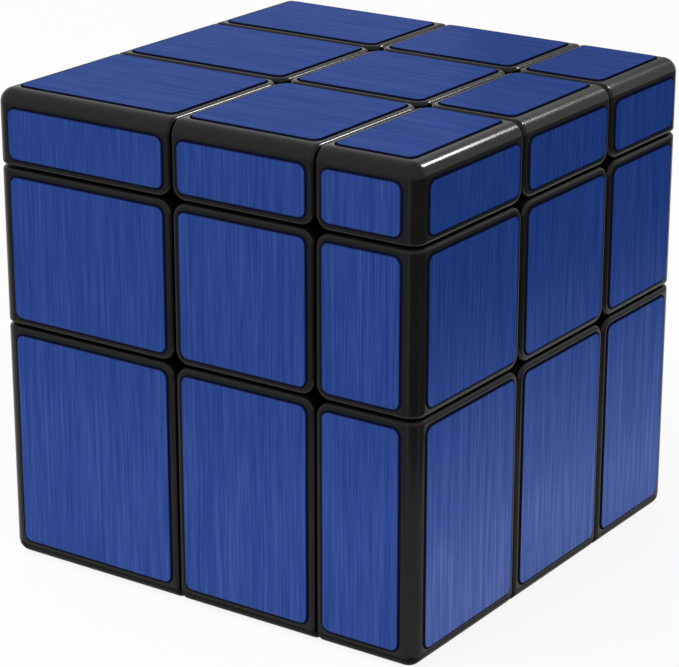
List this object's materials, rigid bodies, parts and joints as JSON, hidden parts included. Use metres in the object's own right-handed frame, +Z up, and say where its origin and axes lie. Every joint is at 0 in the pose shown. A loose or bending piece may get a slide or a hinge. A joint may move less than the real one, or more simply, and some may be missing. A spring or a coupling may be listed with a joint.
{
  "type": "twisty puzzle cube",
  "caption": "Cube puzzle with unequal layers: black shells with blue foil stickers turn about a sprung core, face by face",
  "frame": {"origin": "middle of the base, on the surface that the puzzle stands on", "axes": "+Z up, -Y out of the front face, +X out of the right face"},
  "size_m": [0.0574, 0.0574, 0.0573],
  "materials": {
    "black_shell": "black ABS, satin gloss, very fine moulded grain",
    "blue_foil": "blue metallised film with fine brushed lines, clear gloss on top",
    "core_plastic": "grey moulded nylon",
    "spring_steel": "zinc-plated steel screws, washers and springs"
  },
  "bodies": {
    "core": {"core": "core_plastic", "tension_hardware": "spring_steel"},
    "right_centre": {"right_centre_base": "black_shell", "right_centre_cap": "black_shell", "right_centre_sticker": "blue_foil"},
    "left_centre": {"left_centre_base": "black_shell", "left_centre_cap": "black_shell", "left_centre_sticker": "blue_foil"},
    "back_centre": {"back_centre_base": "black_shell", "back_centre_cap": "black_shell", "back_centre_sticker": "blue_foil"},
    "front_centre": {"front_centre_base": "black_shell", "front_centre_cap": "black_shell", "front_centre_sticker": "blue_foil"},
    "top_centre": {"top_centre_base": "black_shell", "top_centre_cap": "black_shell", "top_centre_sticker": "blue_foil"},
    "bottom_centre": {"bottom_centre_base": "black_shell", "bottom_centre_cap": "black_shell", "bottom_centre_sticker": "blue_foil"},
    "front_right_edge": {"front_right_edge": "black_shell", "front_right_edge_stickers": "blue_foil"},
    "front_left_edge": {"front_left_edge": "black_shell", "front_left_edge_stickers": "blue_foil"},
    "back_right_edge": {"back_right_edge": "black_shell", "back_right_edge_stickers": "blue_foil"},
    "back_left_edge": {"back_left_edge": "black_shell", "back_left_edge_stickers": "blue_foil"},
    "top_right_edge": {"top_right_edge": "black_shell", "top_right_edge_stickers": "blue_foil"},
    "top_left_edge": {"top_left_edge": "black_shell", "top_left_edge_stickers": "blue_foil"},
    "bottom_right_edge": {"bottom_right_edge": "black_shell", "bottom_right_edge_stickers": "blue_foil"},
    "bottom_left_edge": {"bottom_left_edge": "black_shell", "bottom_left_edge_stickers": "blue_foil"},
    "top_front_edge": {"top_front_edge": "black_shell", "top_front_edge_stickers": "blue_foil"},
    "top_back_edge": {"top_back_edge": "black_shell", "top_back_edge_stickers": "blue_foil"},
    "bottom_front_edge": {"bottom_front_edge": "black_shell", "bottom_front_edge_stickers": "blue_foil"},
    "bottom_back_edge": {"bottom_back_edge": "black_shell", "bottom_back_edge_stickers": "blue_foil"},
    "top_front_right_corner": {"top_front_right_corner": "black_shell", "top_front_right_corner_stickers": "blue_foil"},
    "top_front_left_corner": {"top_front_left_corner": "black_shell", "top_front_left_corner_stickers": "blue_foil"},
    "top_back_right_corner": {"top_back_right_corner": "black_shell", "top_back_right_corner_stickers": "blue_foil"},
    "top_back_left_corner": {"top_back_left_corner": "black_shell", "top_back_left_corner_stickers": "blue_foil"},
    "bottom_front_right_corner": {"bottom_front_right_corner": "black_shell", "bottom_front_right_corner_stickers": "blue_foil"},
    "bottom_front_left_corner": {"bottom_front_left_corner": "black_shell", "bottom_front_left_corner_stickers": "blue_foil"},
    "bottom_back_right_corner": {"bottom_back_right_corner": "black_shell", "bottom_back_right_corner_stickers": "blue_foil"},
    "bottom_back_left_corner": {"bottom_back_left_corner": "black_shell", "bottom_back_left_corner_stickers": "blue_foil"}
  },
  "joints": [
    {"name": "right_face_turn", "type": "hinge", "parent": "core", "child": "right_centre", "pos_m": [0.006, 0.002, 0.03865], "axis": [1, 0, 0], "continuous": true},
    {"name": "left_face_turn", "type": "hinge", "parent": "core", "child": "left_centre", "pos_m": [0.006, 0.002, 0.03865], "axis": [-1, 0, 0], "continuous": true},
    {"name": "back_face_turn", "type": "hinge", "parent": "core", "child": "back_centre", "pos_m": [0.006, 0.002, 0.03865], "axis": [0, 1, 0], "continuous": true},
    {"name": "front_face_turn", "type": "hinge", "parent": "core", "child": "front_centre", "pos_m": [0.006, 0.002, 0.03865], "axis": [0, -1, 0], "continuous": true},
    {"name": "top_face_turn", "type": "hinge", "parent": "core", "child": "top_centre", "pos_m": [0.006, 0.002, 0.03865], "axis": [0, 0, 1], "continuous": true},
    {"name": "bottom_face_turn", "type": "hinge", "parent": "core", "child": "bottom_centre", "pos_m": [0.006, 0.002, 0.03865], "axis": [0, 0, -1], "continuous": true},
    {"name": "front_right_edge_with_front_face", "type": "hinge", "parent": "right_centre", "child": "front_right_edge", "pos_m": [0.006, 0.002, 0.03865], "axis": [0, -1, 0], "continuous": true},
    {"name": "front_left_edge_with_front_face", "type": "hinge", "parent": "left_centre", "child": "front_left_edge", "pos_m": [0.006, 0.002, 0.03865], "axis": [0, -1, 0], "continuous": true},
    {"name": "back_right_edge_with_back_face", "type": "hinge", "parent": "right_centre", "child": "back_right_edge", "pos_m": [0.006, 0.002, 0.03865], "axis": [0, 1, 0], "continuous": true},
    {"name": "back_left_edge_with_back_face", "type": "hinge", "parent": "left_centre", "child": "back_left_edge", "pos_m": [0.006, 0.002, 0.03865], "axis": [0, 1, 0], "continuous": true},
    {"name": "top_right_edge_with_right_face", "type": "hinge", "parent": "top_centre", "child": "top_right_edge", "pos_m": [0.006, 0.002, 0.03865], "axis": [1, 0, 0], "continuous": true},
    {"name": "top_left_edge_with_left_face", "type": "hinge", "parent": "top_centre", "child": "top_left_edge", "pos_m": [0.006, 0.002, 0.03865], "axis": [-1, 0, 0], "continuous": true},
    {"name": "bottom_right_edge_with_right_face", "type": "hinge", "parent": "bottom_centre", "child": "bottom_right_edge", "pos_m": [0.006, 0.002, 0.03865], "axis": [1, 0, 0], "continuous": true},
    {"name": "bottom_left_edge_with_left_face", "type": "hinge", "parent": "bottom_centre", "child": "bottom_left_edge", "pos_m": [0.006, 0.002, 0.03865], "axis": [-1, 0, 0], "continuous": true},
    {"name": "top_front_edge_with_top_face", "type": "hinge", "parent": "front_centre", "child": "top_front_edge", "pos_m": [0.006, 0.002, 0.03865], "axis": [0, 0, 1], "continuous": true},
    {"name": "top_back_edge_with_top_face", "type": "hinge", "parent": "back_centre", "child": "top_back_edge", "pos_m": [0.006, 0.002, 0.03865], "axis": [0, 0, 1], "continuous": true},
    {"name": "bottom_front_edge_with_bottom_face", "type": "hinge", "parent": "front_centre", "child": "bottom_front_edge", "pos_m": [0.006, 0.002, 0.03865], "axis": [0, 0, -1], "continuous": true},
    {"name": "bottom_back_edge_with_bottom_face", "type": "hinge", "parent": "back_centre", "child": "bottom_back_edge", "pos_m": [0.006, 0.002, 0.03865], "axis": [0, 0, -1], "continuous": true},
    {"name": "top_front_right_corner_with_top_face", "type": "hinge", "parent": "front_right_edge", "child": "top_front_right_corner", "pos_m": [0.006, 0.002, 0.03865], "axis": [0, 0, 1], "continuous": true},
    {"name": "top_front_left_corner_with_top_face", "type": "hinge", "parent": "front_left_edge", "child": "top_front_left_corner", "pos_m": [0.006, 0.002, 0.03865], "axis": [0, 0, 1], "continuous": true},
    {"name": "top_back_right_corner_with_top_face", "type": "hinge", "parent": "back_right_edge", "child": "top_back_right_corner", "pos_m": [0.006, 0.002, 0.03865], "axis": [0, 0, 1], "continuous": true},
    {"name": "top_back_left_corner_with_top_face", "type": "hinge", "parent": "back_left_edge", "child": "top_back_left_corner", "pos_m": [0.006, 0.002, 0.03865], "axis": [0, 0, 1], "continuous": true},
    {"name": "bottom_front_right_corner_with_bottom_face", "type": "hinge", "parent": "front_right_edge", "child": "bottom_front_right_corner", "pos_m": [0.006, 0.002, 0.03865], "axis": [0, 0, -1], "continuous": true},
    {"name": "bottom_front_left_corner_with_bottom_face", "type": "hinge", "parent": "front_left_edge", "child": "bottom_front_left_corner", "pos_m": [0.006, 0.002, 0.03865], "axis": [0, 0, -1], "continuous": true},
    {"name": "bottom_back_right_corner_with_bottom_face", "type": "hinge", "parent": "back_right_edge", "child": "bottom_back_right_corner", "pos_m": [0.006, 0.002, 0.03865], "axis": [0, 0, -1], "continuous": true},
    {"name": "bottom_back_left_corner_with_bottom_face", "type": "hinge", "parent": "back_left_edge", "child": "bottom_back_left_corner", "pos_m": [0.006, 0.002, 0.03865], "axis": [0, 0, -1], "continuous": true}
  ],
  "couplings": [
    {"joint": "front_right_edge_with_front_face", "follows": "front_face_turn", "ratio": 1},
    {"joint": "front_left_edge_with_front_face", "follows": "front_face_turn", "ratio": 1},
    {"joint": "back_right_edge_with_back_face", "follows": "back_face_turn", "ratio": 1},
    {"joint": "back_left_edge_with_back_face", "follows": "back_face_turn", "ratio": 1},
    {"joint": "top_right_edge_with_right_face", "follows": "right_face_turn", "ratio": 1},
    {"joint": "top_left_edge_with_left_face", "follows": "left_face_turn", "ratio": 1},
    {"joint": "bottom_right_edge_with_right_face", "follows": "right_face_turn", "ratio": 1},
    {"joint": "bottom_left_edge_with_left_face", "follows": "left_face_turn", "ratio": 1},
    {"joint": "top_front_edge_with_top_face", "follows": "top_face_turn", "ratio": 1},
    {"joint": "top_back_edge_with_top_face", "follows": "top_face_turn", "ratio": 1},
    {"joint": "bottom_front_edge_with_bottom_face", "follows": "bottom_face_turn", "ratio": 1},
    {"joint": "bottom_back_edge_with_bottom_face", "follows": "bottom_face_turn", "ratio": 1},
    {"joint": "top_front_right_corner_with_top_face", "follows": "top_face_turn", "ratio": 1},
    {"joint": "top_front_left_corner_with_top_face", "follows": "top_face_turn", "ratio": 1},
    {"joint": "top_back_right_corner_with_top_face", "follows": "top_face_turn", "ratio": 1},
    {"joint": "top_back_left_corner_with_top_face", "follows": "top_face_turn", "ratio": 1},
    {"joint": "bottom_front_right_corner_with_bottom_face", "follows": "bottom_face_turn", "ratio": 1},
    {"joint": "bottom_front_left_corner_with_bottom_face", "follows": "bottom_face_turn", "ratio": 1},
    {"joint": "bottom_back_right_corner_with_bottom_face", "follows": "bottom_face_turn", "ratio": 1},
    {"joint": "bottom_back_left_corner_with_bottom_face", "follows": "bottom_face_turn", "ratio": 1}
  ]
}
